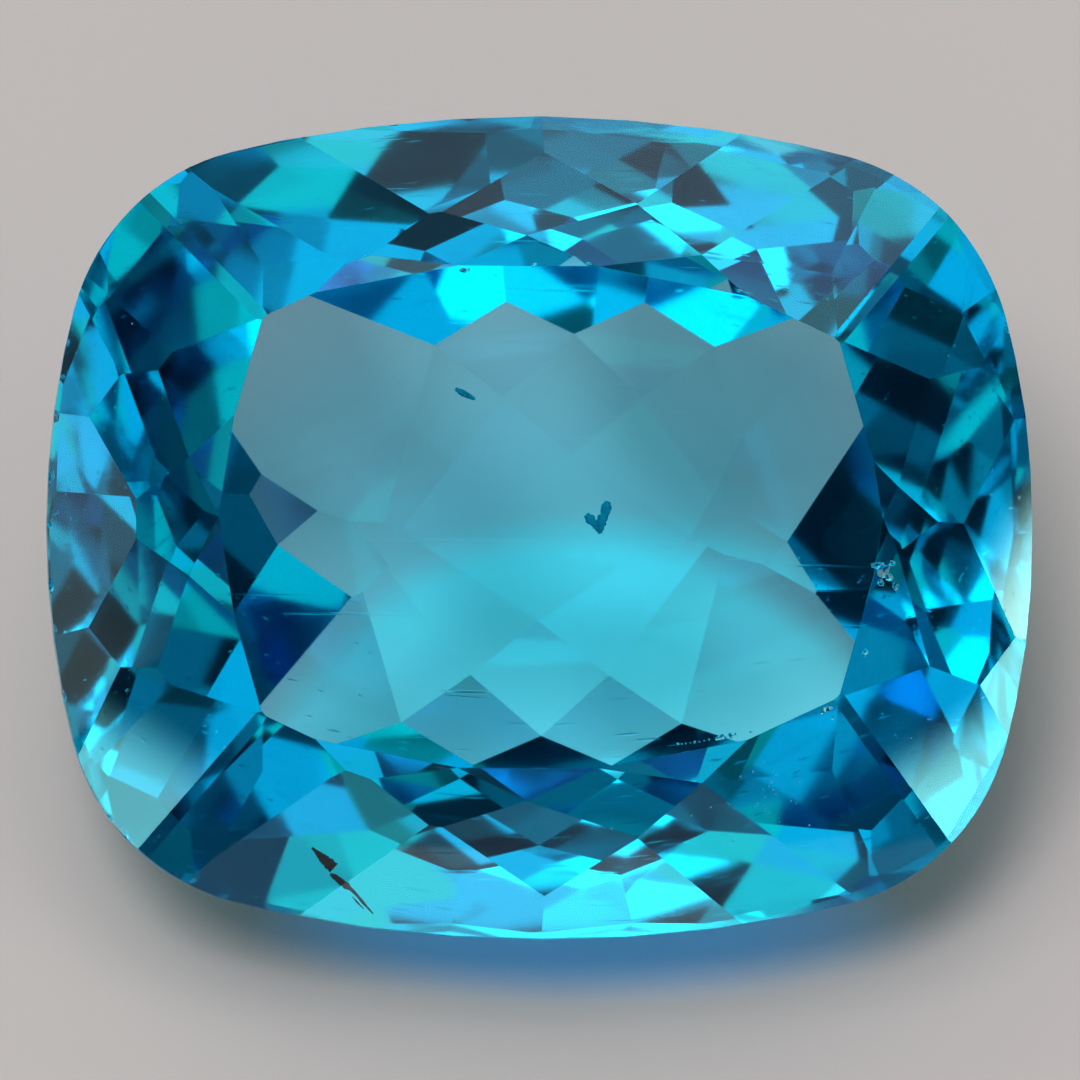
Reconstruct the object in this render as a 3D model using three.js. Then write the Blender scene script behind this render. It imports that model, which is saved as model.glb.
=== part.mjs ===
// A cut blue topaz: one solid stone, ground flat facet by flat facet.
//
// It is worked out in the cutter's own frame: X along the stone, Y across it,
// Z out through the table, and zero in the middle of the girdle. Every facet
// is a flat face with an azimuth (degrees round from +X), a slope (degrees
// from level) and a point it passes through. Most of those points are meet
// points, where three facets that are already cut come together.
// At the end the stone is turned onto the pavilion facet that it rests on.

import * as THREE from 'three';

// ---- Outline of the girdle, mm ----
const LENGTH = 18.0;
const WIDTH = 15.0;
const LONG_SIDE_RADIUS = 24.3;
const END_RADIUS = 16.2;
const CORNER_RADIUS = 4.0;
const GIRDLE_THICKNESS = 0.4;
const GIRDLE_FLATS = 96;

// ---- Crown, mm and degrees as [azimuth, slope] ----
const TABLE_HEIGHT = 2.87;
const MID_STAR_HALF = 1.27;
const MID_STAR_Y = 4.55;
const MID_STAR_OFF_CENTRE = -0.42;
const SIDE_STAR_END_X = 3.91;
const SIDE_STAR_OFF_CENTRE = -0.35;
const TABLE_CORNER_X = 5.22;
const TABLE_TIP_X = 6.02;
const CORNER_STRIP_DEPTH = 0.018;
const CROWN = {
  midStar: [90, 27.5],
  sideStar: [79, 25],
  kite: [84.5, 33.5],
  lozenge: [65, 38],
  endKite: [0, 36],
  endStar: [9, 29],
  endLozenge: [16, 33.5],
  cornerLong: [60, 39.4],
  cornerEnd: [31, 40.4],
  cornerStrip: [46, 39],
  breakMid: [90, 41],
  breakKite: [74, 42.5],
  breakLozenge: [66, 39.5],
  breakEnd: [8.5, 39.7],
};
const CROWN_AT_GIRDLE = [[83.5, 47], [75, 42.8], [22, 42], [14.5, 46], [0, 46.5]];

// ---- Pavilion, mm and degrees as [azimuth, slope] ----
// On each side the rows run from the girdle (row 1) to the keel (row 5).
const LONG_MEET_Y = 3.70;
const LONG_MEET_DEPTH = 4.6;
const LONG_SIDE_MEET = { x: 2.58, y: 3.47 };
const END_MEET = { x: 4.70, y: 0.91 };
const END_MEET_DEPTH = { left: 4.71, right: 5.15 };
const LONG = {
  row1Mid: [90, 44],
  row1Side: [74, 44],
  row2Mid: [80, 35],
  row2Side: [54, 34.2],
  row3Mid: [90, 29],
  row3Side: [64, 29.5],
  row4: [74, 23],
  row5: [90, 13],
};
const END = {
  row1: [8, 44],
  row2Mid: [0, 36],
  row2Side: [24, 37],
  row3: [15, 31.4],
  row4: [0, 22],
};
const PAVILION_AT_GIRDLE = [
  [86, 58], [77, 56], [67, 54], [57, 53], [47, 49], [37, 53], [27, 54], [16, 55], [5, 57],
];

// The pavilion was cut by eye: each side's facets sit a little to one side of
// the middle, so that the pattern swirls round the stone.
const SLIP_BACK = 0.75;
const SLIP_FRONT = 0.14;
const SLIP_LEFT = 0.70;
const SLIP_RIGHT = -1.00;

// ---- Rest ----
const REST_SLOPE = LONG.row3Mid[1];
const TOUCH = 1e-7;

// ---- Facets as planes ----
const UP = 1;
const DOWN = -1;
const QUARTERS = [[1, 1], [-1, 1], [-1, -1], [1, -1]];

// Outward direction of a facet, mirrored into a quarter of the stone.
function facing([azimuth, slope], side, [sx, sy]) {
  const a = THREE.MathUtils.degToRad(azimuth);
  const s = THREE.MathUtils.degToRad(slope);
  const level = Math.sin(s);
  return new THREE.Vector3(sx * Math.cos(a) * level, sy * Math.sin(a) * level, side * Math.cos(s));
}

// A facet through a point.
function through(point, angles, side, quarter) {
  const normal = facing(angles, side, quarter);
  return { normal, distance: normal.dot(point) };
}

// The point where three facets meet.
function meet(a, b, c) {
  const rows = new THREE.Matrix3().set(
    a.normal.x, a.normal.y, a.normal.z,
    b.normal.x, b.normal.y, b.normal.z,
    c.normal.x, c.normal.y, c.normal.z,
  );
  return new THREE.Vector3(a.distance, b.distance, c.distance).applyMatrix3(rows.invert());
}

// The point of a facet that lies above or below a place in plan.
function onFacet(facet, x, y) {
  const { normal, distance } = facet;
  return new THREE.Vector3(x, y, (distance - normal.x * x - normal.y * y) / normal.z);
}

// The point of a facet's table edge at a given x.
function onTableEdge(facet, x) {
  const { normal, distance } = facet;
  const y = (distance - normal.z * TABLE_HEIGHT - normal.x * x) / normal.y;
  return new THREE.Vector3(x, y, TABLE_HEIGHT);
}

// ---- Outline: flat arcs on the sides, joined by tangent corner arcs ----
// The corner arc's centre lies where two circles cross, each the side's own
// arc drawn in by the corner radius.
function outlineArcs() {
  const long = { x: 0, y: WIDTH / 2 - LONG_SIDE_RADIUS, radius: LONG_SIDE_RADIUS };
  const end = { x: LENGTH / 2 - END_RADIUS, y: 0, radius: END_RADIUS };
  const r1 = LONG_SIDE_RADIUS - CORNER_RADIUS;
  const r2 = END_RADIUS - CORNER_RADIUS;
  const dx = end.x - long.x;
  const dy = end.y - long.y;
  const apart = Math.hypot(dx, dy);
  const along = (r1 * r1 - r2 * r2 + apart * apart) / (2 * apart);
  const off = Math.sqrt(r1 * r1 - along * along);
  const corner = {
    x: long.x + (along * dx + off * dy) / apart,
    y: long.y + (along * dy - off * dx) / apart,
    radius: CORNER_RADIUS,
  };
  if (corner.x < 0 || corner.y < 0) {
    corner.x = long.x + (along * dx - off * dy) / apart;
    corner.y = long.y + (along * dy + off * dx) / apart;
  }
  const longFrom = Math.atan2(corner.y - long.y, corner.x - long.x);
  const endTo = Math.atan2(corner.y - end.y, corner.x - end.x);
  return { long, end, corner, longFrom, endTo };
}

const ARCS = outlineArcs();

// How far the outline reaches in a direction of the first quarter.
function reach(azimuth) {
  const a = THREE.MathUtils.degToRad(azimuth);
  let arc = ARCS.corner;
  if (a >= ARCS.longFrom) arc = ARCS.long;
  if (a <= ARCS.endTo) arc = ARCS.end;
  return arc.x * Math.cos(a) + arc.y * Math.sin(a) + arc.radius;
}

// A facet that just touches the upper or lower edge of the girdle.
function atGirdle(angles, side, quarter) {
  const s = THREE.MathUtils.degToRad(angles[1]);
  const distance = reach(angles[0]) * Math.sin(s) + (GIRDLE_THICKNESS / 2) * Math.cos(s);
  return { normal: facing(angles, side, quarter), distance };
}

function girdle() {
  const flats = [];
  for (let i = 0; i < GIRDLE_FLATS; i += 1) {
    const turn = ((i + 0.5) / GIRDLE_FLATS) * 2 * Math.PI;
    const normal = new THREE.Vector3(Math.cos(turn), Math.sin(turn), 0);
    const folded = THREE.MathUtils.radToDeg(Math.acos(Math.abs(normal.x)));
    flats.push({ normal, distance: reach(folded) });
  }
  return flats;
}

// ---- Crown: table, stars, kites and lozenges, then the row at the girdle ----
function crownQuarter(quarter) {
  const [sx, sy] = quarter;
  const cut = (point, angles) => through(point, angles, UP, quarter);
  const starX = sx * MID_STAR_HALF + MID_STAR_OFF_CENTRE;
  const starCorner = new THREE.Vector3(starX, sy * MID_STAR_Y, TABLE_HEIGHT);
  const midStar = cut(starCorner, CROWN.midStar);
  const sideStar = cut(starCorner, CROWN.sideStar);
  const kite = cut(starCorner, CROWN.kite);
  const sideStarEnd = onTableEdge(sideStar, sx * SIDE_STAR_END_X + SIDE_STAR_OFF_CENTRE);
  const lozenge = cut(sideStarEnd, CROWN.lozenge);
  const tableCorner = onTableEdge(lozenge, sx * TABLE_CORNER_X);
  const tip = new THREE.Vector3(sx * TABLE_TIP_X, 0, TABLE_HEIGHT);
  const endKite = cut(tip, CROWN.endKite);
  const endStar = cut(tip, CROWN.endStar);
  const endLozenge = cut(tableCorner, CROWN.endLozenge);
  const cornerStrip = cut(tableCorner, CROWN.cornerStrip);
  cornerStrip.distance -= CORNER_STRIP_DEPTH;
  const kiteCorner = meet(sideStar, kite, lozenge);
  const endCorner = meet(endStar, endKite, endLozenge);
  const facets = [
    midStar,
    sideStar,
    kite,
    lozenge,
    endKite,
    endStar,
    endLozenge,
    cornerStrip,
    cut(tableCorner, CROWN.cornerLong),
    cut(tableCorner, CROWN.cornerEnd),
    cut(kiteCorner, CROWN.breakKite),
    cut(kiteCorner, CROWN.breakLozenge),
    cut(endCorner, CROWN.breakEnd),
    ...CROWN_AT_GIRDLE.map((angles) => atGirdle(angles, UP, quarter)),
  ];
  return { facets, midStar, kite };
}

function crown() {
  const facets = [{ normal: new THREE.Vector3(0, 0, 1), distance: TABLE_HEIGHT }];
  for (const sy of [1, -1]) {
    const right = crownQuarter([1, sy]);
    const left = crownQuarter([-1, sy]);
    const betweenKites = meet(right.midStar, right.kite, left.kite);
    facets.push(...right.facets, ...left.facets);
    facets.push(through(betweenKites, CROWN.breakMid, UP, [1, sy]));
  }
  return facets;
}

// ---- Pavilion: rows of lozenges that meet at their corners ----
function longSide(sy, slip) {
  const facets = [];
  const meetPoint = new THREE.Vector3(slip, sy * LONG_MEET_Y, -LONG_MEET_DEPTH);
  const halves = [1, -1].map((sx) => {
    const cut = (point, angles) => through(point, angles, DOWN, [sx, sy]);
    const row2Mid = cut(meetPoint, LONG.row2Mid);
    const row3Mid = cut(meetPoint, LONG.row3Mid);
    const sideMeet = onFacet(row2Mid, slip + sx * LONG_SIDE_MEET.x, sy * LONG_SIDE_MEET.y);
    const row3Side = cut(sideMeet, LONG.row3Side);
    const row4 = cut(meet(row2Mid, row3Mid, row3Side), LONG.row4);
    facets.push(cut(meetPoint, LONG.row1Mid), cut(sideMeet, LONG.row1Side));
    facets.push(row2Mid, cut(sideMeet, LONG.row2Side), row3Mid, row3Side, row4);
    return { row3Mid, row4 };
  });
  const keelEnd = meet(halves[0].row3Mid, halves[0].row4, halves[1].row4);
  facets.push(through(keelEnd, LONG.row5, DOWN, [1, sy]));
  return facets;
}

function endSide(sx, slip, depth) {
  const facets = [];
  const halves = [1, -1].map((sy) => {
    const cut = (point, angles) => through(point, angles, DOWN, [sx, sy]);
    const meetPoint = new THREE.Vector3(sx * END_MEET.x, slip + sy * END_MEET.y, -depth);
    const row2Mid = cut(meetPoint, END.row2Mid);
    const row3 = cut(meetPoint, END.row3);
    facets.push(cut(meetPoint, END.row1), cut(meetPoint, END.row2Side), row2Mid, row3);
    return { row2Mid, row3 };
  });
  const inner = meet(halves[0].row2Mid, halves[0].row3, halves[1].row3);
  facets.push(through(inner, END.row4, DOWN, [sx, 1]));
  return facets;
}

function pavilion() {
  const facets = [
    ...longSide(1, SLIP_BACK),
    ...longSide(-1, SLIP_FRONT),
    ...endSide(1, SLIP_RIGHT, END_MEET_DEPTH.right),
    ...endSide(-1, SLIP_LEFT, END_MEET_DEPTH.left),
  ];
  for (const quarter of QUARTERS) {
    for (const angles of PAVILION_AT_GIRDLE) facets.push(atGirdle(angles, DOWN, quarter));
  }
  return facets;
}

// ---- Grinding ----
// The rough block: a box a little larger than the stone, as corner points and
// loops of point numbers that run anticlockwise when seen from outside.
function roughBlock() {
  const box = new THREE.Vector3(LENGTH, WIDTH, 4 * TABLE_HEIGHT);
  const points = [];
  for (const z of [-1, 1]) {
    for (const y of [-1, 1]) {
      for (const x of [-1, 1]) points.push(new THREE.Vector3(x, y, z).multiply(box));
    }
  }
  const faces = [
    [0, 2, 3, 1], [4, 5, 7, 6], [0, 1, 5, 4], [2, 6, 7, 3], [0, 4, 6, 2], [1, 3, 7, 5],
  ];
  return { points, faces };
}

// Sorts the points of a flat face anticlockwise round its outward direction.
function ringOf(numbers, points, normal) {
  const middle = new THREE.Vector3();
  for (const i of numbers) middle.add(points[i]);
  middle.divideScalar(numbers.length);
  const across = points[numbers[0]].clone().sub(middle).normalize();
  const up = normal.clone().cross(across);
  const turn = (i) => {
    const spoke = points[i].clone().sub(middle);
    return Math.atan2(spoke.dot(up), spoke.dot(across));
  };
  return numbers.sort((i, j) => turn(i) - turn(j));
}

// Takes everything outside one facet off the stone and closes the cut.
function grind(stone, facet) {
  const { points } = stone;
  const over = points.map((p) => p.dot(facet.normal) - facet.distance);
  const used = new Set(stone.faces.flat());
  if (![...used].some((i) => over[i] > TOUCH)) return;
  const cuts = new Map();
  const cutPoint = (i, j) => {
    const key = i < j ? `${i}-${j}` : `${j}-${i}`;
    if (!cuts.has(key)) {
      const part = over[i] / (over[i] - over[j]);
      points.push(points[i].clone().lerp(points[j], part));
      cuts.set(key, points.length - 1);
    }
    return cuts.get(key);
  };
  const rim = new Set();
  const kept = [];
  for (const face of stone.faces) {
    const ring = [];
    face.forEach((i, k) => {
      const j = face[(k + 1) % face.length];
      if (over[i] <= TOUCH) ring.push(i);
      if (Math.abs(over[i]) <= TOUCH) rim.add(i);
      const crosses = over[i] * over[j] < 0;
      if (crosses && Math.abs(over[i]) > TOUCH && Math.abs(over[j]) > TOUCH) {
        ring.push(cutPoint(i, j));
        rim.add(cutPoint(i, j));
      }
    });
    if (ring.length > 2 && ring.some((i) => over[i] < -TOUCH)) kept.push(ring);
  }
  if (rim.size > 2) kept.push(ringOf([...rim], points, facet.normal));
  stone.faces = kept;
}

function cutStone() {
  const stone = roughBlock();
  for (const facet of [...girdle(), ...crown(), ...pavilion()]) grind(stone, facet);
  return stone;
}

// ---- Mesh ----
function stoneGeometry({ points, faces }) {
  const corners = [];
  for (const face of faces) {
    for (let k = 1; k < face.length - 1; k += 1) {
      for (const i of [face[0], face[k], face[k + 1]]) corners.push(...points[i].toArray());
    }
  }
  const geometry = new THREE.BufferGeometry();
  geometry.setAttribute('position', new THREE.Float32BufferAttribute(corners, 3));
  // The stone tips towards its front until the resting facet is level, then
  // the middle of its footprint box goes to the origin.
  geometry.rotateX(THREE.MathUtils.degToRad(REST_SLOPE));
  geometry.computeBoundingBox();
  const { min, max } = geometry.boundingBox;
  geometry.translate(-(min.x + max.x) / 2, -(min.y + max.y) / 2, -min.z);
  geometry.computeVertexNormals();
  return geometry;
}

const stoneMaterial = new THREE.MeshStandardMaterial({
  color: '#2aa5c6',
  roughness: 0.03,
  metalness: 0,
});

const topaz = new THREE.Mesh(stoneGeometry(cutStone()), stoneMaterial);
topaz.name = 'topaz';

const part = new THREE.Group();
part.name = 'cut_topaz';
part.add(topaz);

export default part;
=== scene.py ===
import math

import bmesh
import bpy
import numpy as np
from mathutils import Matrix, Vector


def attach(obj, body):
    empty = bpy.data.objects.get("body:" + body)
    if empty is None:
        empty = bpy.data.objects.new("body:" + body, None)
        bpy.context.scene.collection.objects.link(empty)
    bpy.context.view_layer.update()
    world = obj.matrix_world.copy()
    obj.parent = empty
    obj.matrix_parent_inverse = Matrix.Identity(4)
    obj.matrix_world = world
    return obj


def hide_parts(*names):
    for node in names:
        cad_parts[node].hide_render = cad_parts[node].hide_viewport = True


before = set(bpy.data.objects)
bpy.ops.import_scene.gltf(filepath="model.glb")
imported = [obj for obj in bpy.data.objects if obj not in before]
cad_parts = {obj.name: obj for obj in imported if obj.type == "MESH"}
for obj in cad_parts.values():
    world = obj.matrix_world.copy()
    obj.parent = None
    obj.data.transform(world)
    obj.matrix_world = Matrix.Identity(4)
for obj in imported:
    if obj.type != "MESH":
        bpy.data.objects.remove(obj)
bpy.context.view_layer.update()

# ---------------------------------------------------------------------------
# Camera
# It looks down at the stone's table, nearly square on, from a little to the
# left and below the table's own axis.
# ---------------------------------------------------------------------------
MM = 0.001
LEAN = math.radians(29)
OFF_TABLE_AXIS = 0.07
AIM_BELOW_GIRDLE = 0.219 * MM
VIEW_BREADTH = 19.71 * MM
CAMERA_DISTANCE = 0.30
SENSOR = 36
NEAREST_SEEN = 0.01

scene = bpy.context.scene
table_axis = Vector((0, -math.sin(LEAN), math.cos(LEAN)))
across_stone = Vector((0, math.cos(LEAN), math.sin(LEAN)))
along_stone = Vector((1, 0, 0))
girdle_centre = Vector((0, 0.0193, 5.817)) * MM
toward_camera = (table_axis - OFF_TABLE_AXIS * across_stone - OFF_TABLE_AXIS * along_stone).normalized()
view_right = across_stone.cross(toward_camera).normalized()
view_up = toward_camera.cross(view_right)

camera_data = bpy.data.cameras.new("camera")
camera_data.sensor_width = SENSOR
camera_data.lens = SENSOR * CAMERA_DISTANCE / VIEW_BREADTH
camera_data.clip_start = NEAREST_SEEN
camera = bpy.data.objects.new("camera", camera_data)
scene.collection.objects.link(camera)
camera_place = Matrix((view_right, view_up, toward_camera)).transposed().to_4x4()
camera_place.translation = girdle_centre - AIM_BELOW_GIRDLE * view_up + toward_camera * CAMERA_DISTANCE
camera.matrix_world = camera_place
scene.camera = camera

# ---------------------------------------------------------------------------
# Floor
# A plain pale matt surface under the stone. Far behind it stands a ring of the
# same tone, which only the camera sees and which hides the horizon.
# ---------------------------------------------------------------------------
FLOOR_REACH = 0.6
FLOOR_DROP = -0.02 * MM
FLOOR_COLOUR = (0.466, 0.41, 0.41, 1)
BACKDROP_RADIUS = 0.58
BACKDROP_FOOT = -0.001
BACKDROP_TOP = 0.4
BACKDROP_GLOW = (0.4185, 0.390, 0.383, 1)
RING_CORNERS = 64
BLACK = (0, 0, 0, 1)
KINDS_OF_RAY = ("camera", "diffuse", "glossy", "transmission", "volume_scatter", "shadow")


def staged(name, points, faces, seen_only_by=None):
    """A stage mesh made of the given points and faces, with a material of its own name. Where one kind of ray
    is named, no other kind sees it. Gives back the material's shader."""
    mesh = bpy.data.meshes.new(name)
    mesh.from_pydata(points.tolist(), [], faces)
    thing = bpy.data.objects.new(name, mesh)
    scene.collection.objects.link(thing)
    if seen_only_by:
        for kind in KINDS_OF_RAY:
            setattr(thing, "visible_" + kind, kind == seen_only_by)
    paint = bpy.data.materials.new(name)
    paint.use_nodes = True
    paint.cycles.emission_sampling = "NONE"
    mesh.materials.append(paint)
    return paint.node_tree.nodes["Principled BSDF"]


def glow(shader, colour):
    """Makes a shader give out its own light in one colour and send back none."""
    shader.inputs["Base Color"].default_value = BLACK
    shader.inputs["Emission Color"].default_value = colour
    shader.inputs["Emission Strength"].default_value = 1


def add_node(tree, kind, inputs, **settings):
    """A new node of a kind with its settings. An input that is given another node's output is linked to it,
    and any other input takes the given value."""
    node = tree.nodes.new("ShaderNode" + kind)
    for setting, value in settings.items():
        setattr(node, setting, value)
    for socket, value in inputs.items():
        if isinstance(value, bpy.types.NodeSocket):
            tree.links.new(value, node.inputs[socket])
        else:
            node.inputs[socket].default_value = value
    return node


def ring_faces(count, closed=True):
    """The faces between two rows of points, the second row numbered on from the first."""
    here = np.arange(count if closed else count - 1)
    beside = (here + 1) % count
    return np.stack([here, beside, count + beside, count + here], axis=1).tolist()


floor_corners = np.array([(-1, -1, 0), (1, -1, 0), (1, 1, 0), (-1, 1, 0)]) * FLOOR_REACH + [0, 0, FLOOR_DROP]
floor_shader = staged("floor", floor_corners, [(0, 1, 2, 3)])
floor_shader.inputs["Base Color"].default_value = FLOOR_COLOUR
floor_shader.inputs["Roughness"].default_value = 1.0
floor_shader.inputs["Specular IOR Level"].default_value = 0.0

clock = np.linspace(0, 2 * math.pi, RING_CORNERS, endpoint=False)
unit_ring = np.stack([np.cos(clock), np.sin(clock), np.zeros(RING_CORNERS)], axis=1)
backdrop_points = np.concatenate([unit_ring * BACKDROP_RADIUS + [0, 0, BACKDROP_FOOT],
                                  unit_ring * BACKDROP_RADIUS + [0, 0, BACKDROP_TOP]])
backdrop_shader = staged("backdrop", backdrop_points, ring_faces(RING_CORNERS), "camera")
glow(backdrop_shader, BACKDROP_GLOW)

# ---------------------------------------------------------------------------
# Studio cards
# Dark and glowing cards round the stone, all of them painted light. The flat ones
# and the upright ones are seen only in its facets, as painted dark reflections and
# painted highlights, and the one under it only through it, as a painted pool of
# light on the floor.
# ---------------------------------------------------------------------------
DARK_CARD_INNER, DARK_CARD_OUTER = 0.024, 0.55
DARK_CARD_LEVEL = 0.5 * FLOOR_DROP
DARK_REFLECTION_COLOUR = (0.005, 0.03, 0.04, 1)
FRONT_SHEET_INNER, FRONT_SHEET_OUTER = 0.0095, 0.0142
FRONT_SHEET_FIRST, FRONT_SHEET_LAST = -160, -50
FRONT_SHEET_CORNERS = 32
FRONT_SHEET_LEVEL = 0.6 * FLOOR_DROP
FRONT_REFLECTION_GLOW = (1.05, 1.20, 1.25, 1)
UNDER_GLOW_RADIUS = 0.011
UNDER_GLOW_LEVEL = 0.4 * FLOOR_DROP
UNDER_GLOW_SQUEEZE = (0.72, 1, 1)
UNDER_GLOW_DIM = (0.225, 0.155, 0.155, 1)
UNDER_GLOW_ROUNDS = (
    # middle in mm, radius of the full colour, radius where it ends, colour
    ((0, 3.5, 0), 0.5, 8.5, (1.10, 0.41, 0.43, 1)),
    ((0.9, -0.5, 0), 3.4, 4.4, (0.76, 0.55, 0.575, 1)))
MOTTLES_PER_METRE = 300
MOTTLE_SPAN = (0.35, 0.65)
MOTTLE_STRENGTH = (0.84, 1.12)
UPRIGHT_FOOT = 0.3
UPRIGHT_HIGHLIGHT_CARDS = (
    # name, middle of its foot, breadth, height of the full glow, top, all in mm, glow of the painted
    # highlight
    ("right_back_highlight", (22.9, 0.9, 0), 5, 4.0, 5.4, (4.5, 8.0, 7.5, 1)),
    ("right_front_highlight", (21.3, -7.9, 0), 10, 2.4, 3.8, (2.8, 6.8, 6.5, 1)),
    ("front_left_highlight", (-20, -12, 0), 10, 3.7, 5.2, (2.0, 5.0, 5.0, 1)),
    ("left_highlight", (-24, 4, 0), 22, 7.0, 12.0, (0.80, 0.88, 0.75, 1)))

# Painted dark reflection: a near-black ring on the floor that only the facets mirror.
dark_points = np.concatenate([unit_ring * DARK_CARD_INNER, unit_ring * DARK_CARD_OUTER])
dark_reflection_shader = staged("painted_dark_reflection", dark_points + [0, 0, DARK_CARD_LEVEL], ring_faces(RING_CORNERS), "glossy")
dark_reflection_shader.inputs["Base Color"].default_value = DARK_REFLECTION_COLOUR

# Painted reflection: a glowing arc on the floor in front of the stone that only the facets mirror.
clock = np.radians(np.linspace(FRONT_SHEET_FIRST, FRONT_SHEET_LAST, FRONT_SHEET_CORNERS))
front_arc = np.stack([np.cos(clock), np.sin(clock), np.zeros(FRONT_SHEET_CORNERS)], axis=1)
sheet_points = np.concatenate([front_arc * FRONT_SHEET_INNER, front_arc * FRONT_SHEET_OUTER])
reflection_sheet_shader = staged("front_painted_reflection", sheet_points + [0, 0, FRONT_SHEET_LEVEL],
                      ring_faces(FRONT_SHEET_CORNERS, closed=False), "glossy")
glow(reflection_sheet_shader, FRONT_REFLECTION_GLOW)

# Painted pool of light: a glowing disc under the stone, seen only through it, in place of the floor lit by
# the light the stone gathers; soft bright rounds on a dim ground, mottled.
glow_points = np.concatenate([unit_ring * UNDER_GLOW_RADIUS, [[0, 0, 0]]])
here = np.arange(RING_CORNERS)
glow_faces = np.stack([here, (here + 1) % RING_CORNERS, np.full(RING_CORNERS, RING_CORNERS)], axis=1)
glow_shader = staged("under_glow", glow_points + [0, 0, UNDER_GLOW_LEVEL], glow_faces.tolist(),
                     "transmission")
glow_tree = glow_shader.id_data
glow(glow_shader, BLACK)
glow_place = add_node(glow_tree, "TexCoord", {}).outputs["Object"]
squeezed = add_node(glow_tree, "VectorMath", {0: glow_place, 1: UNDER_GLOW_SQUEEZE}, operation="MULTIPLY")
glow_colour = UNDER_GLOW_DIM
for middle, full, edge, colour in UNDER_GLOW_ROUNDS:
    away = add_node(glow_tree, "VectorMath", {0: squeezed.outputs["Vector"], 1: Vector(middle) * MM},
                    operation="DISTANCE")
    soft_round = add_node(glow_tree, "MapRange", {"Value": away.outputs["Value"], "From Min": edge * MM,
                                                  "From Max": full * MM}, interpolation_type="SMOOTHSTEP")
    lit = add_node(glow_tree, "Mix", {"Factor": soft_round.outputs["Result"], "A": glow_colour, "B": colour},
                   data_type="RGBA")
    glow_colour = lit.outputs["Result"]
mottle = add_node(glow_tree, "TexNoise", {"Vector": glow_place, "Scale": MOTTLES_PER_METRE, "Detail": 0})
mottled = add_node(glow_tree, "MapRange", {
    "Value": mottle.outputs["Fac"], "From Min": MOTTLE_SPAN[0], "From Max": MOTTLE_SPAN[1],
    "To Min": MOTTLE_STRENGTH[0], "To Max": MOTTLE_STRENGTH[1]})
glow_tree.links.new(glow_colour, glow_shader.inputs["Emission Color"])
glow_tree.links.new(mottled.outputs["Result"], glow_shader.inputs["Emission Strength"])

# Painted highlights: glowing upright cards, fading towards their tops, that only the facets mirror.
for name, middle, breadth, full, top, colour in UPRIGHT_HIGHLIGHT_CARDS:
    middle = np.array(middle)
    half = np.array([-middle[1], middle[0], 0]) / np.hypot(middle[0], middle[1]) * breadth / 2
    foot, head = np.array([0, 0, UPRIGHT_FOOT]), np.array([0, 0, top])
    card_points = np.array([middle - half + foot, middle + half + foot, middle + half + head,
                            middle - half + head]) * MM
    highlight_shader = staged(name, card_points, [(0, 1, 2, 3)], "glossy")
    highlight_tree = highlight_shader.id_data
    glow(highlight_shader, colour)
    card_place = add_node(highlight_tree, "TexCoord", {})
    height = add_node(highlight_tree, "SeparateXYZ", {"Vector": card_place.outputs["Object"]})
    fade = add_node(highlight_tree, "MapRange", {"Value": height.outputs["Z"], "From Min": top * MM,
                                            "From Max": full * MM}, interpolation_type="SMOOTHSTEP")
    highlight_tree.links.new(fade.outputs["Result"], highlight_shader.inputs["Emission Strength"])

# ---------------------------------------------------------------------------
# Studio tent
# A soft white tent over the stone, dim towards the horizon, with the dark shape
# of the camera in it and a lamp behind the cloth above the camera. What the facets
# mirror is a painted reflection of it, tinted cyan, with a brighter back patch and lamp.
# ---------------------------------------------------------------------------
TENT_STRENGTH = 0.66
# Each place in the tent is an angle off the camera's axis and a clock angle. Each edge is the angle from the
# middle of a patch to where it starts to fade, and the angle where it ends.
CLOTH_EDGE = (49, 59)
CLOTH_WARM, CLOTH_COOL = (1.18, 1.34, 1.04, 1), (1.00, 1.18, 1.34, 1)
CLOTH_DRIFT_SCALE = 2.2
CLOTH_DRIFT_SPAN = (0.40, 0.60)
ROOM_DARK = (0.09, 0.16, 0.20, 1)
BACK_WALL_AXIS = Vector((0, 1, 0.45)).normalized()
BACK_WALL_EDGE = (25, 60)
BACK_WALL = (0.9, 0.9, 0.9, 1)
LAMP_PLACE, LAMP_EDGE = (42, 100), (10, 24)
LAMP_CLOTH = (3.3, 3.4, 3.3, 1)
SIDE_WINDOW_PLACE, SIDE_WINDOW_EDGE = (68, 118), (6, 18)
SIDE_WINDOW = (1.9, 2.5, 2.1, 1)
CAMERA_DARK = (0.01, 0.03, 0.045, 1)
CAMERA_SHAPE = (
    # socket, axis, half the camera's breadth along it
    ("X", view_right, 0.58),
    ("Y", view_up, 0.35))
CAMERA_SHAPE_MIDDLE = (0.05, -0.05, 0)
CAMERA_SHAPE_END, CAMERA_SHAPE_FULL = 1.15, 0.80
FRONT_GREY_PLACE, FRONT_GREY_EDGE = (7, -100), (6, 16)
FRONT_GREY = (0.36, 0.42, 0.46, 1)
LENS_GLINT_PLACE, LENS_GLINT_EDGE = (13, 85), (1.5, 6)
LENS_GLINT = (0.7, 0.7, 0.7, 1)
MIRRORED_TINT = (0.20, 0.55, 0.65, 1)
MIRRORED_BACK_PLACE, MIRRORED_BACK_EDGE = (95, 72), (14, 30)
MIRRORED_BACK = (1.25, 1.40, 1.50, 1)
MIRRORED_LAMP = (2.4, 2.5, 2.6, 1)

studio = bpy.data.worlds.new("studio")
scene.world = studio
studio.use_nodes = True
studio.cycles.sampling_method = "NONE"
sky = studio.node_tree
direction = add_node(sky, "TexCoord", {}).outputs["Generated"]


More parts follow.
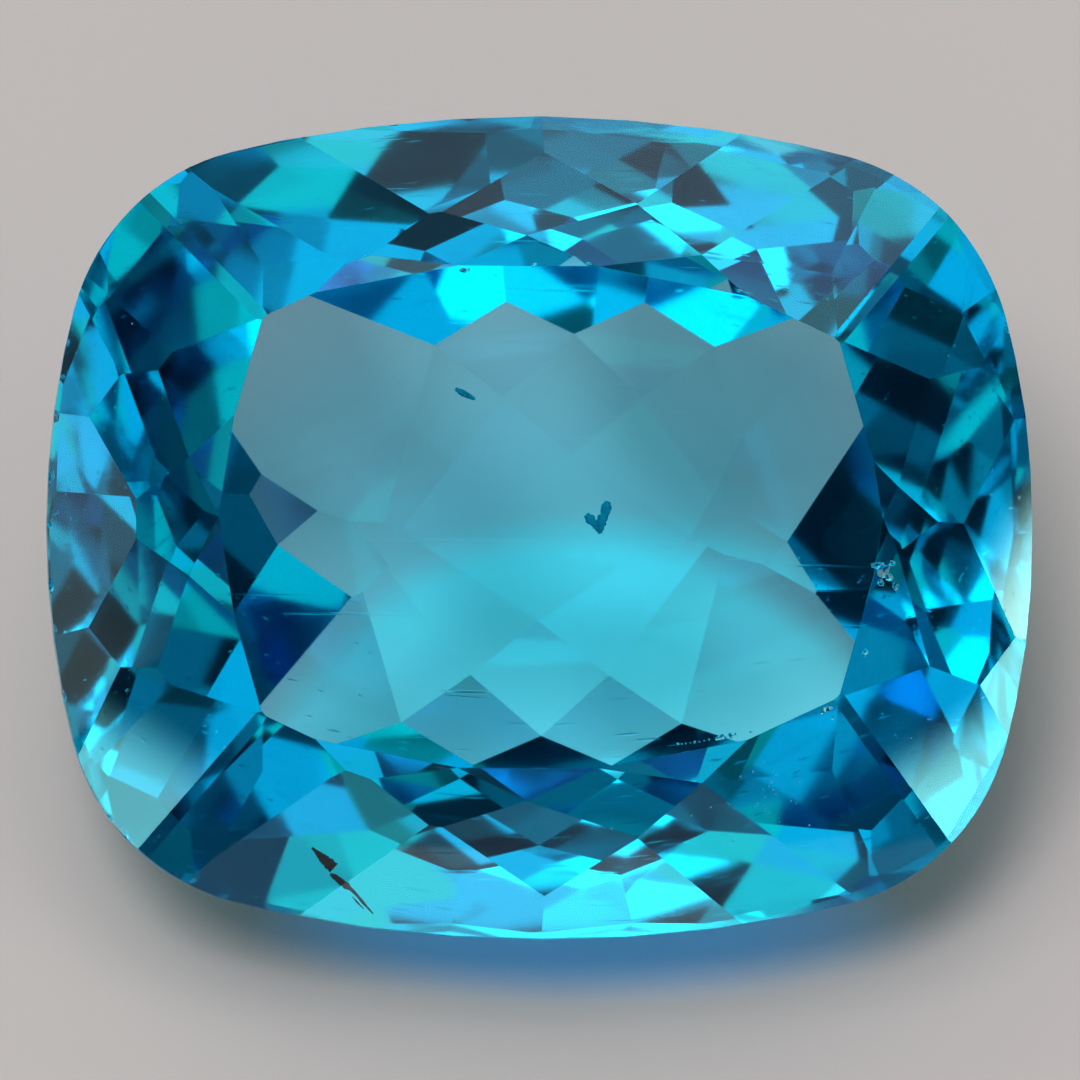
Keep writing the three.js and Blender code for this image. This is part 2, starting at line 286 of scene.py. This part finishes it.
def off_axis(angle, clock_angle):
    """The direction an angle away from the camera's, at a clock angle of 0 for right and 90 for up."""
    angle, clock_angle = math.radians(angle), math.radians(clock_angle)
    side = math.cos(clock_angle) * view_right + math.sin(clock_angle) * view_up
    return math.cos(angle) * toward_camera + math.sin(angle) * side


def patch(axis, inner, outer):
    """A soft round patch of the sky: 1 within the inner angle from its axis, 0 beyond the outer one."""
    facing = add_node(sky, "VectorMath", {0: direction, 1: axis}, operation="DOT_PRODUCT")
    edge = add_node(sky, "MapRange", {
        "Value": facing.outputs["Value"], "From Min": math.cos(math.radians(outer)),
        "From Max": math.cos(math.radians(inner))}, interpolation_type="SMOOTHSTEP")
    return edge.outputs["Result"]


def mixed(share, first, second, way="MIX"):
    """The second colour where the share is 1, the first where it is 0."""
    mix = add_node(sky, "Mix", {"Factor": share, "A": first, "B": second}, data_type="RGBA", blend_type=way)
    return mix.outputs["Result"]


drift = add_node(sky, "TexNoise", {"Vector": direction, "Scale": CLOTH_DRIFT_SCALE, "Detail": 0})
drifted = add_node(sky, "MapRange", {"Value": drift.outputs["Fac"], "From Min": CLOTH_DRIFT_SPAN[0],
                                     "From Max": CLOTH_DRIFT_SPAN[1]}, interpolation_type="SMOOTHSTEP")
cloth = mixed(drifted.outputs["Result"], CLOTH_WARM, CLOTH_COOL)
lamp_patch = patch(off_axis(*LAMP_PLACE), *LAMP_EDGE)
light = mixed(patch(toward_camera, *CLOTH_EDGE), ROOM_DARK, cloth)
light = mixed(patch(BACK_WALL_AXIS, *BACK_WALL_EDGE), light, BACK_WALL)
light = mixed(lamp_patch, light, LAMP_CLOTH)
light = mixed(patch(off_axis(*SIDE_WINDOW_PLACE), *SIDE_WINDOW_EDGE), light, SIDE_WINDOW)

camera_shape = add_node(sky, "CombineXYZ", {"Z": 0})
for socket, axis, half in CAMERA_SHAPE:
    sideways = add_node(sky, "VectorMath", {0: direction, 1: axis / half}, operation="DOT_PRODUCT")
    sky.links.new(sideways.outputs["Value"], camera_shape.inputs[socket])
off_centre = add_node(sky, "VectorMath", {0: camera_shape.outputs["Vector"], 1: CAMERA_SHAPE_MIDDLE},
                      operation="DISTANCE")
inside = add_node(sky, "MapRange", {
    "Value": off_centre.outputs["Value"], "From Min": CAMERA_SHAPE_END,
    "From Max": CAMERA_SHAPE_FULL}, interpolation_type="SMOOTHSTEP")
light = mixed(inside.outputs["Result"], light, CAMERA_DARK)
light = mixed(patch(off_axis(*FRONT_GREY_PLACE), *FRONT_GREY_EDGE), light, FRONT_GREY)
light = mixed(patch(off_axis(*LENS_GLINT_PLACE), *LENS_GLINT_EDGE), light, LENS_GLINT)

# Painted reflection: rays last turned by a mirror see the tent tinted cyan, with a brighter patch behind and
# a brighter lamp patch.
mirrored_light = mixed(1, light, MIRRORED_TINT, "MULTIPLY")
back_patch = patch(off_axis(*MIRRORED_BACK_PLACE), *MIRRORED_BACK_EDGE)
mirrored_light = mixed(back_patch, mirrored_light, MIRRORED_BACK)
mirrored_light = mixed(lamp_patch, mirrored_light, MIRRORED_LAMP)
ray = add_node(sky, "LightPath", {})
mirrored = add_node(sky, "Math", {0: ray.outputs["Is Glossy Ray"], 1: ray.outputs["Is Transmission Ray"]},
                    operation="SUBTRACT", use_clamp=True)
tent_colour = mixed(mirrored.outputs["Value"], light, mirrored_light)
sky.links.new(tent_colour, sky.nodes["Background"].inputs["Color"])
sky.nodes["Background"].inputs["Strength"].default_value = TENT_STRENGTH

# ---------------------------------------------------------------------------
# Lamps
# A broad key lamp, high up and a little to the left and front, that shades the
# floor. Two narrow ones lay on it the blue light that the stone gathers.
# ---------------------------------------------------------------------------
POOL_HEIGHT = 100
POOLS = (
    # name, middle in mm, radius in mm, softness, power, colour, stretch along the stone
    ("gathered_light", (0.4, -0.4), 4.3, 0.8, 0.05, (0.08, 0.75, 1.0), 1.0),
    ("front_glow", (1.0, -4.9), 1.9, 0.9, 0.16, (0.0, 0.36, 1.0), 3.5))
KEY_POWER = 1.0
KEY_BREADTH = math.radians(22)
KEY_DIRECTION = Vector((-0.24, -0.22, 1))


def hung(name, lamp):
    """A lamp that lights only the floor: no facet mirrors it and none lets it through."""
    holder = bpy.data.objects.new(name, lamp)
    holder.visible_glossy = False
    holder.visible_transmission = False
    scene.collection.objects.link(holder)
    return holder


for name, middle, radius, softness, power, colour, stretch in POOLS:
    spot = bpy.data.lights.new(name, "SPOT")
    spot.spot_size = 2 * math.atan(radius / POOL_HEIGHT)
    spot.spot_blend = softness
    spot.shadow_soft_size = 0
    spot.energy = power
    spot.color = colour
    spot.use_shadow = False
    beam = hung(name, spot)
    beam.location = Vector((*middle, POOL_HEIGHT)) * MM
    beam.scale = (stretch, 1, 1)

key = bpy.data.lights.new("key", "SUN")
key.energy = KEY_POWER
key.angle = KEY_BREADTH
hung("key", key).rotation_euler = KEY_DIRECTION.to_track_quat("Z", "Y").to_euler()

# ---------------------------------------------------------------------------
# Stone
# One piece of topaz, cut and polished facet by facet. The polishing lap leaves
# each facet edge a few hundredths of a millimetre broad.
# ---------------------------------------------------------------------------
EDGE_BREADTH = 0.018 * MM
SAME_POINT = 1e-7
SAME_FACET = math.radians(0.2)
LEAST_RISE = 0.05

cad_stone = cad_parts["topaz"]
work = bmesh.new()
work.from_mesh(cad_stone.data)
work.transform(cad_stone.matrix_world)
bmesh.ops.remove_doubles(work, verts=work.verts, dist=SAME_POINT)
bmesh.ops.dissolve_limit(work, angle_limit=SAME_FACET, verts=work.verts, edges=work.edges)
bmesh.ops.recalc_face_normals(work, faces=work.faces)


def three_wide(things, field):
    """One field of a mesh's points or faces, as an array of three columns."""
    values = np.empty(3 * len(things), np.float32)
    things.foreach_get(field, values)
    return values.reshape(-1, 3).astype(float)


# The cutter's frame has X along the stone, Y across it and Z out through the table, and is in mm from the
# girdle's centre.
cutters_axes = np.array([list(along_stone), list(across_stone), list(table_axis)])
sharp_mesh = bpy.data.meshes.new("sharp_stone")
work.to_mesh(sharp_mesh)
corners = (three_wide(sharp_mesh.vertices, "co") - np.array(girdle_centre)) @ cutters_axes.T / MM
facet_normals = three_wide(sharp_mesh.polygons, "normal") @ cutters_axes.T
facet_points = (three_wide(sharp_mesh.polygons, "center") - np.array(girdle_centre)) @ cutters_axes.T / MM
facet_offsets = np.sum(facet_normals * facet_points, axis=1)
bpy.data.meshes.remove(sharp_mesh)

bmesh.ops.bevel(work, geom=work.edges, offset=EDGE_BREADTH, segments=1, profile=0.5, affect="EDGES",
                clamp_overlap=True, loop_slide=True)
whole_mesh = bpy.data.meshes.new("whole_stone")
work.to_mesh(whole_mesh)
work.free()
stone = bpy.data.objects.new("cut_stone", whole_mesh)
scene.collection.objects.link(stone)


def top_of_stone(x, y):
    """The height of the crown over points in the cutter's frame: the lowest of its facets' planes there."""
    up = facet_normals[:, 2] > LEAST_RISE
    planes, offsets = facet_normals[up], facet_offsets[up]
    heights = (offsets - np.outer(x, planes[:, 0]) - np.outer(y, planes[:, 1])) / planes[:, 2]
    return heights.min(axis=1)


def in_stone(points):
    """Points of the cutter's frame, in mm, moved to the stone's place."""
    return points @ cutters_axes * MM + np.array(girdle_centre)


# ---------------------------------------------------------------------------
# Nicks
# Small shell-shaped chips that wear has broken out of the girdle and the table
# edge. Each is scooped out of the stone.
# ---------------------------------------------------------------------------
HALF_GIRDLE = 0.2
GIRDLE_SLACK = 0.01
BALL_RINGS, BALL_SPOKES = 4, 7
BALL_ROUGHNESS = (0.65, 1.15)
RIM_NICKS = np.array([
    # clock angle in degrees, radius in mm
    (159, 0.11), (163, 0.10), (167.5, 0.12), (174.5, 0.15), (180, 0.09), (187, 0.17), (192, 0.11),
    (196, 0.14), (199.5, 0.18), (205, 0.10), (210, 0.14), (214, 0.13), (217, 0.17), (3.5, 0.16),
    (2, 0.12), (23.5, 0.12), (38, 0.10), (42, 0.15), (46, 0.11), (49, 0.13), (110, 0.09), (292, 0.09),
    (333, 0.12)])
RIM_NICK_SHAPE = (1, 1, 0.7)
TABLE_NICKS = np.array([
    # x, y and radius in mm, in the cutter's frame
    (-1.60, 4.46, 0.06), (-1.50, 4.47, 0.04), (-0.30, 4.58, 0.05), (0.70, 4.60, 0.05), (3.43, 4.12, 0.06),
    (5.95, -0.85, 0.13), (6.05, -0.96, 0.15), (6.16, -1.06, 0.12), (6.28, -1.20, 0.10), (6.00, -1.16, 0.09),
    (6.20, -0.80, 0.07), (5.72, -2.42, 0.08), (2.30, -4.10, 0.03), (2.37, -4.10, 0.02), (2.44, -4.09, 0.025),
    (2.52, -4.08, 0.02), (2.60, -4.07, 0.03), (2.68, -4.06, 0.02), (2.77, -4.04, 0.025), (2.86, -4.02, 0.02),
    (3.00, -4.00, 0.04), (3.05, -3.99, 0.06), (3.11, -3.97, 0.05), (3.18, -3.97, 0.04), (3.26, -3.95, 0.05),
    (3.34, -3.93, 0.03), (3.62, -3.88, 0.025), (4.92, -3.52, 0.08), (5.00, -3.46, 0.10), (5.07, -3.43, 0.06),
    (5.12, -3.62, 0.04)])
NICK_STRETCH = (0.6, 1.4)
NICK_OFF_RIM = (0.6, 1.3)
NICK_SEAM = 2e-7
SEED = 7

dice = np.random.default_rng(SEED)


def rough_balls(middles, sizes):
    """A grid over each sphere, with one point more at each pole. Every point is moved in or out from the
    sphere's middle at random, to a part of the radius that lies between the two roughness values."""
    tilt = np.linspace(0, math.pi, BALL_RINGS + 2)[1:-1]
    turn = np.linspace(0, 2 * math.pi, BALL_SPOKES, endpoint=False)
    t, u = np.meshgrid(tilt, turn, indexing="ij")
    ball = np.stack([np.sin(t) * np.cos(u), np.sin(t) * np.sin(u), np.cos(t)], axis=-1).reshape(-1, 3)
    ball = np.concatenate([ball, [[0, 0, 1], [0, 0, -1]]])
    ring, spoke = np.indices((BALL_RINGS - 1, BALL_SPOKES)).reshape(2, -1)
    next_spoke = (spoke + 1) % BALL_SPOKES
    here, beside = ring * BALL_SPOKES + spoke, ring * BALL_SPOKES + next_spoke
    below, below_beside = here + BALL_SPOKES, beside + BALL_SPOKES
    spoke = np.arange(BALL_SPOKES)
    next_spoke = (spoke + 1) % BALL_SPOKES
    top = np.full(BALL_SPOKES, BALL_RINGS * BALL_SPOKES)
    last = (BALL_RINGS - 1) * BALL_SPOKES
    skin = np.concatenate([np.stack([here, below, below_beside], axis=1),
                           np.stack([here, below_beside, beside], axis=1),
                           np.stack([top, spoke, next_spoke], axis=1),
                           np.stack([top + 1, last + next_spoke, last + spoke], axis=1)])
    spread = dice.uniform(*BALL_ROUGHNESS, (len(middles), len(ball), 1))
    points = middles[:, None, :] + ball[None] * spread * sizes[:, None, :]
    faces = skin[None] + len(ball) * np.arange(len(middles))[:, None, None]
    mesh = bpy.data.meshes.new("rough_balls")
    mesh.from_pydata(in_stone(points.reshape(-1, 3)).tolist(), [], faces.reshape(-1, 3).tolist())
    return mesh


rim = corners[np.abs(corners[:, 2]) < HALF_GIRDLE + GIRDLE_SLACK]
rim = rim[np.argsort(np.arctan2(rim[:, 1], rim[:, 0]))]
rim_angle = np.degrees(np.arctan2(rim[:, 1], rim[:, 0]))
angles, rim_sizes = RIM_NICKS.T
edge_height = dice.choice([-1, 1], len(angles)) * HALF_GIRDLE * dice.uniform(*NICK_OFF_RIM, len(angles))
rim_middles = np.stack([np.interp(angles, rim_angle, rim[:, 0], period=360),
                        np.interp(angles, rim_angle, rim[:, 1], period=360), edge_height], axis=1)
x, y, table_sizes = TABLE_NICKS.T
table_middles = np.stack([x, y, top_of_stone(x, y)], axis=1)
nick_sizes = np.concatenate([np.outer(rim_sizes, RIM_NICK_SHAPE), np.outer(table_sizes, (1, 1, 1))])
nick_sizes *= dice.uniform(*NICK_STRETCH, nick_sizes.shape)
cutter = bpy.data.objects.new("nick_shapes", rough_balls(np.concatenate([rim_middles, table_middles]),
                                                         nick_sizes))
scene.collection.objects.link(cutter)
chip = stone.modifiers.new("chips", "BOOLEAN")
chip.operation = "DIFFERENCE"
chip.solver = "EXACT"
chip.use_self = True
chip.object = cutter
stone_mesh = bpy.data.meshes.new_from_object(stone.evaluated_get(bpy.context.evaluated_depsgraph_get()))
stone.modifiers.clear()
stone_mesh.name = "cut_stone"
stone.data = stone_mesh
bpy.data.meshes.remove(whole_mesh)
bpy.data.meshes.remove(cutter.data)

work = bmesh.new()
work.from_mesh(stone_mesh)
bmesh.ops.remove_doubles(work, verts=work.verts, dist=NICK_SEAM)
bmesh.ops.dissolve_degenerate(work, dist=NICK_SEAM, edges=work.edges)
bmesh.ops.triangulate(work, faces=work.faces)
work.to_mesh(stone_mesh)
work.free()
stone_mesh.polygons.foreach_set("use_smooth", np.zeros(len(stone_mesh.polygons), bool))
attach(stone, "root")
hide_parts("topaz")

# ---------------------------------------------------------------------------
# Topaz
# Clear sky-blue topaz under a fine polish, with faint hairline scratches and a
# girdle that is left fine ground.
# ---------------------------------------------------------------------------
TOPAZ_IOR = 1.62
TOPAZ_TINT = (0.0, 0.873, 0.943, 1)
ABSORPTION_PER_METRE = 260
CLOUDS_PER_METRE = 700
CLOUD_SPAN = (0.3, 0.7)
POLISH, POLISH_DRIFT = 0.05, 0.012
SCRATCH_TURN = (0.2, 0.1, 0.6)
SCRATCHES_PER_METRE = (300, 14000, 9000)
SCRATCH_RARITY = (0.77, 0.85)
SCRATCH_ROUGHNESS = 0.12
SCRATCH_STRENGTH, SCRATCH_DEPTH = 0.25, 0.002 * MM
GROUND_ROUGHNESS = 0.22

topaz = bpy.data.materials.new("blue_topaz")
topaz.use_nodes = True
tree = topaz.node_tree
glass = tree.nodes["Principled BSDF"]
glass.inputs["Base Color"].default_value = (1, 1, 1, 1)
glass.inputs["IOR"].default_value = TOPAZ_IOR
glass.inputs["Transmission Weight"].default_value = 1.0
absorb = add_node(tree, "VolumeAbsorption", {"Color": TOPAZ_TINT, "Density": ABSORPTION_PER_METRE})
tree.links.new(absorb.outputs["Volume"], tree.nodes["Material Output"].inputs["Volume"])

on_stone = add_node(tree, "TexCoord", {}).outputs["Object"]
cloud = add_node(tree, "TexNoise", {"Vector": on_stone, "Scale": CLOUDS_PER_METRE, "Detail": 1})
polish = add_node(tree, "MapRange", {
    "Value": cloud.outputs["Fac"], "From Min": CLOUD_SPAN[0], "From Max": CLOUD_SPAN[1],
    "To Min": POLISH - POLISH_DRIFT, "To Max": POLISH + POLISH_DRIFT})
stretched = add_node(tree, "Mapping", {"Vector": on_stone, "Rotation": SCRATCH_TURN,
                                       "Scale": SCRATCHES_PER_METRE})
hairlines = add_node(tree, "TexNoise", {"Vector": stretched.outputs["Vector"], "Scale": 1, "Detail": 0})
scratch = add_node(tree, "MapRange", {"Value": hairlines.outputs["Fac"], "From Min": SCRATCH_RARITY[0],
                                      "From Max": SCRATCH_RARITY[1]})
scratched = add_node(tree, "Math", {0: scratch.outputs["Result"], 1: SCRATCH_ROUGHNESS,
                                    2: polish.outputs["Result"]}, operation="MULTIPLY_ADD")
height = add_node(tree, "VectorMath", {0: on_stone, 1: table_axis}, operation="DOT_PRODUCT")
on_girdle = add_node(tree, "Math", {0: height.outputs["Value"], 1: girdle_centre.dot(table_axis),
                                    2: HALF_GIRDLE * MM}, operation="COMPARE")
finish = add_node(tree, "Mix", {"Factor": on_girdle.outputs["Value"], "A": scratched.outputs["Value"],
                                "B": GROUND_ROUGHNESS})
tree.links.new(finish.outputs["Result"], glass.inputs["Roughness"])
relief = add_node(tree, "Bump", {"Height": scratch.outputs["Result"], "Strength": SCRATCH_STRENGTH,
                                 "Distance": SCRATCH_DEPTH})
tree.links.new(relief.outputs["Normal"], glass.inputs["Normal"])
stone_mesh.materials.clear()
stone_mesh.materials.append(topaz)

# ---------------------------------------------------------------------------
# Inclusions
# Thin flakes of another mineral that grew inside the crystal: a small V and a
# short streak, both under the table.
# ---------------------------------------------------------------------------
SLIVER_SIDEWAYS, SLIVER_UPWARDS = np.array([(1, 0), (0.5, 1), (-0.5, 1), (-1, 0), (-0.5, -1), (0.5, -1)]).T
SIDES = len(SLIVER_SIDEWAYS)
RINGS_PER_STROKE = 6
SLIVER_RAGGEDNESS = (0.75, 1.2)
V_FLAKES = (
    # corners of the line, half breadths along it, half thickness, height, all in mm
    (((0.69, 0.10), (0.76, 0.02), (0.86, -0.10), (0.95, -0.24)), (0.05, 0.085, 0.06, 0.03), 0.02, 1.62),
    (((1.08, 0.34), (1.06, 0.24), (1.00, 0.0), (0.95, -0.24)), (0.05, 0.095, 0.07, 0.03), 0.02, 1.65),
    (((0.93, 0.10), (0.93, -0.05), (0.94, -0.20)), (0.02, 0.06, 0.04), 0.015, 1.58))
STREAK = (((-1.68, 2.38), (-1.56, 2.31), (-1.44, 2.25), (-1.32, 2.19)), (0.03, 0.06, 0.05, 0.02), 0.02, 1.5)


def sliver(line, half_breadths, half_thickness, height_at):
    """A six-sided lens carried along a line of straight strokes. Each ring's points lie across the line by a
    part of the half breadth there, at the height that height_at gives, half a thickness up or down from it.
    The half breadths are made ragged at random, and both ends are closed."""
    rings = RINGS_PER_STROKE * len(line)
    steps = np.linspace(0, len(line) - 1, rings)
    x, y = np.array(line, float).T
    line = np.stack([np.interp(steps, np.arange(len(x)), x), np.interp(steps, np.arange(len(y)), y)], axis=1)
    breadth = np.interp(steps, np.arange(len(half_breadths)), half_breadths)
    breadth = breadth * dice.uniform(*SLIVER_RAGGEDNESS, rings)
    way = np.gradient(line, axis=0)
    across = np.stack([-way[:, 1], way[:, 0]], axis=1) / np.linalg.norm(way, axis=1)[:, None]
    flat = line[:, None, :] + across[:, None, :] * breadth[:, None, None] * SLIVER_SIDEWAYS[None, :, None]
    height = height_at(flat[..., 0].ravel(), flat[..., 1].ravel()).reshape(rings, SIDES)
    height = height + SLIVER_UPWARDS * half_thickness * breadth[:, None] / breadth.max()
    points = np.concatenate([flat, height[..., None]], axis=2).reshape(-1, 3)
    ring, corner = np.indices((rings - 1, SIDES)).reshape(2, -1)
    here, beside = SIDES * ring + corner, SIDES * ring + (corner + 1) % SIDES
    skin = np.stack([here, beside, beside + SIDES, here + SIDES], axis=1)
    ends = np.stack([np.arange(SIDES)[::-1], SIDES * (rings - 1) + np.arange(SIDES)])
    return points, skin, ends


def slivers_piece(name, slivers):
    """Slivers joined into one piece of the stone, each one's faces numbered on from those before it."""
    every_point = [points for points, _, _ in slivers]
    firsts = np.cumsum([0] + [len(points) for points in every_point[:-1]])
    faces = []
    for first, (_, skin, ends) in zip(firsts, slivers):
        faces += (skin + first).tolist() + (ends + first).tolist()
    mesh = bpy.data.meshes.new(name)
    mesh.from_pydata(in_stone(np.concatenate(every_point)).tolist(), [], faces)
    return inside_stone(name, mesh)


def inside_stone(name, mesh):
    """A piece sealed in the stone, which moves with it and is in the stone's slot."""
    piece = bpy.data.objects.new(name, mesh)
    scene.collection.objects.link(piece)
    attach(piece, "root")
    return mesh


def level(height):
    """The same height everywhere, for a sliver that lies level under the table."""
    return lambda x, y: np.full(len(x), height)


mineral_grain = bpy.data.node_groups.new("mineral_grain", "ShaderNodeTree")
for socket, kind in (("Place", "Vector"), ("Grains per metre", "Float"), ("Dark grain", "Color"),
                     ("Light grain", "Color"), ("Smoothest", "Float"), ("Roughest", "Float")):
    mineral_grain.interface.new_socket(socket, in_out="INPUT", socket_type="NodeSocket" + kind)
mineral_grain.interface.new_socket("Colour", in_out="OUTPUT", socket_type="NodeSocketColor")
mineral_grain.interface.new_socket("Roughness", in_out="OUTPUT", socket_type="NodeSocketFloat")
given = mineral_grain.nodes.new("NodeGroupInput").outputs
result = mineral_grain.nodes.new("NodeGroupOutput").inputs
grain = add_node(mineral_grain, "TexNoise", {"Vector": given["Place"], "Scale": given["Grains per metre"]})
tint = add_node(mineral_grain, "Mix", {"Factor": grain.outputs["Fac"], "A": given["Dark grain"],
                                       "B": given["Light grain"]}, data_type="RGBA")
matt = add_node(mineral_grain, "MapRange", {"Value": grain.outputs["Fac"], "To Min": given["Smoothest"],
                                            "To Max": given["Roughest"]})
mineral_grain.links.new(tint.outputs["Result"], result["Colour"])
mineral_grain.links.new(matt.outputs["Result"], result["Roughness"])


def grained(name, grains_per_metre, dark, light, smoothest, roughest):
    """A matt material whose colour and roughness both follow one fine mineral grain."""
    material = bpy.data.materials.new(name)
    material.use_nodes = True
    tree = material.node_tree
    shader = tree.nodes["Principled BSDF"]
    grain_group = tree.nodes.new("ShaderNodeGroup")
    grain_group.node_tree = mineral_grain
    for socket, value in (("Grains per metre", grains_per_metre), ("Dark grain", dark),
                          ("Light grain", light), ("Smoothest", smoothest), ("Roughest", roughest)):
        grain_group.inputs[socket].default_value = value
    in_piece = add_node(tree, "TexCoord", {}).outputs["Object"]
    tree.links.new(in_piece, grain_group.inputs["Place"])
    tree.links.new(grain_group.outputs["Colour"], shader.inputs["Base Color"])
    tree.links.new(grain_group.outputs["Roughness"], shader.inputs["Roughness"])
    return material


inclusion_mesh = slivers_piece("dark_inclusions", [
    sliver(line, half_breadths, half_thickness, level(height))
    for line, half_breadths, half_thickness, height in (*V_FLAKES, STREAK)])
inclusion_mesh.materials.append(grained(
    "dark_mineral", grains_per_metre=9000, dark=(0.0, 0.30, 0.45, 1), light=(0.03, 0.62, 0.80, 1),
    smoothest=0.5, roughest=0.9))

# ---------------------------------------------------------------------------
# Crack
# A short open crack just under the crown facets by the lower left corner. Its
# parted faces let no light through and are painted near black, as painted shade
# for the dark an open crack shows, so it reads as dark jagged slivers.
# ---------------------------------------------------------------------------
CRACK_DEPTH = 0.09
CRACK_SLIVERS = (
    # corners of the line, half breadths along it, half thickness
    (((-4.23, -5.90), (-4.12, -6.00), (-4.02, -6.09), (-3.90, -6.19), (-3.82, -6.26)),
     (0.015, 0.04, 0.08, 0.10, 0.09), 0.012),
    (((-3.88, -6.36), (-3.78, -6.42), (-3.68, -6.50), (-3.56, -6.58), (-3.50, -6.63)),
     (0.02, 0.05, 0.06, 0.055, 0.03), 0.012),
    (((-3.52, -6.60), (-3.38, -6.73), (-3.26, -6.86), (-3.14, -6.98), (-3.06, -7.06)),
     (0.03, 0.022, 0.025, 0.018, 0.006), 0.008),
    (((-3.46, -6.76), (-3.36, -6.86), (-3.24, -6.97)), (0.008, 0.016, 0.006), 0.006))


def under_crown(x, y):
    """The height of points that lie the crack's depth under the crown's facets."""
    return top_of_stone(x, y) - CRACK_DEPTH


crack_mesh = slivers_piece("crack", [
    sliver(line, half_breadths, half_thickness, under_crown)
    for line, half_breadths, half_thickness in CRACK_SLIVERS])
# Painted shade: the crack's faces are coloured near black.
crack_mesh.materials.append(grained(
    "crack_painted_shade", grains_per_metre=14000, dark=(0.004, 0.010, 0.020, 1), light=(0.02, 0.05, 0.08, 1),
    smoothest=0.25, roughest=0.6))

# ---------------------------------------------------------------------------
# Specks
# Fine pale pits and bits of dust sealed under the polish, mostly on the lower
# right of the crown.
# ---------------------------------------------------------------------------
CLUSTER_COUNT = 26
CLUSTER_X, CLUSTER_Y = (4.05, 0.28), (-4.95, 0.30)
LONE_SPECKS = np.array([
    (3.40, -5.78), (-7.56, -2.72), (-3.75, 4.86), (-3.35, 4.74), (-7.50, 3.60), (7.35, 3.08), (7.70, 3.82),
    (2.95, -5.20), (2.60, -5.35), (-6.90, 0.80), (6.65, -3.90), (1.15, -5.60)])
SPECK_RADII = (0.010, 0.026)
SPECK_DEPTH = 1.4

cluster = np.stack([dice.normal(*CLUSTER_X, CLUSTER_COUNT), dice.normal(*CLUSTER_Y, CLUSTER_COUNT)], axis=1)
speck_places = np.concatenate([cluster, LONE_SPECKS])
speck_sizes = dice.uniform(*SPECK_RADII, len(speck_places))
speck_middles = np.column_stack([speck_places, top_of_stone(*speck_places.T) - SPECK_DEPTH * speck_sizes])
speck_mesh = inside_stone("pale_specks", rough_balls(speck_middles, np.outer(speck_sizes, (1, 1, 1))))
speck_mesh.materials.append(grained(
    "pale_dust", grains_per_metre=20000, dark=(0.75, 0.85, 0.88, 1), light=(1, 1, 1, 1), smoothest=0.4,
    roughest=0.8))

# ---------------------------------------------------------------------------
# Light through the stone
# A ray may cross the stone and bounce from facet to facet many times before it
# leaves. The tones keep deep darks beside bright facets.
# ---------------------------------------------------------------------------
MOST_BOUNCES = 12

cycles = scene.cycles
cycles.max_bounces = MOST_BOUNCES
cycles.glossy_bounces = MOST_BOUNCES
cycles.transmission_bounces = MOST_BOUNCES
cycles.caustics_refractive = True
cycles.caustics_reflective = True
scene.view_settings.view_transform = "Standard"
scene.view_settings.look = "High Contrast"
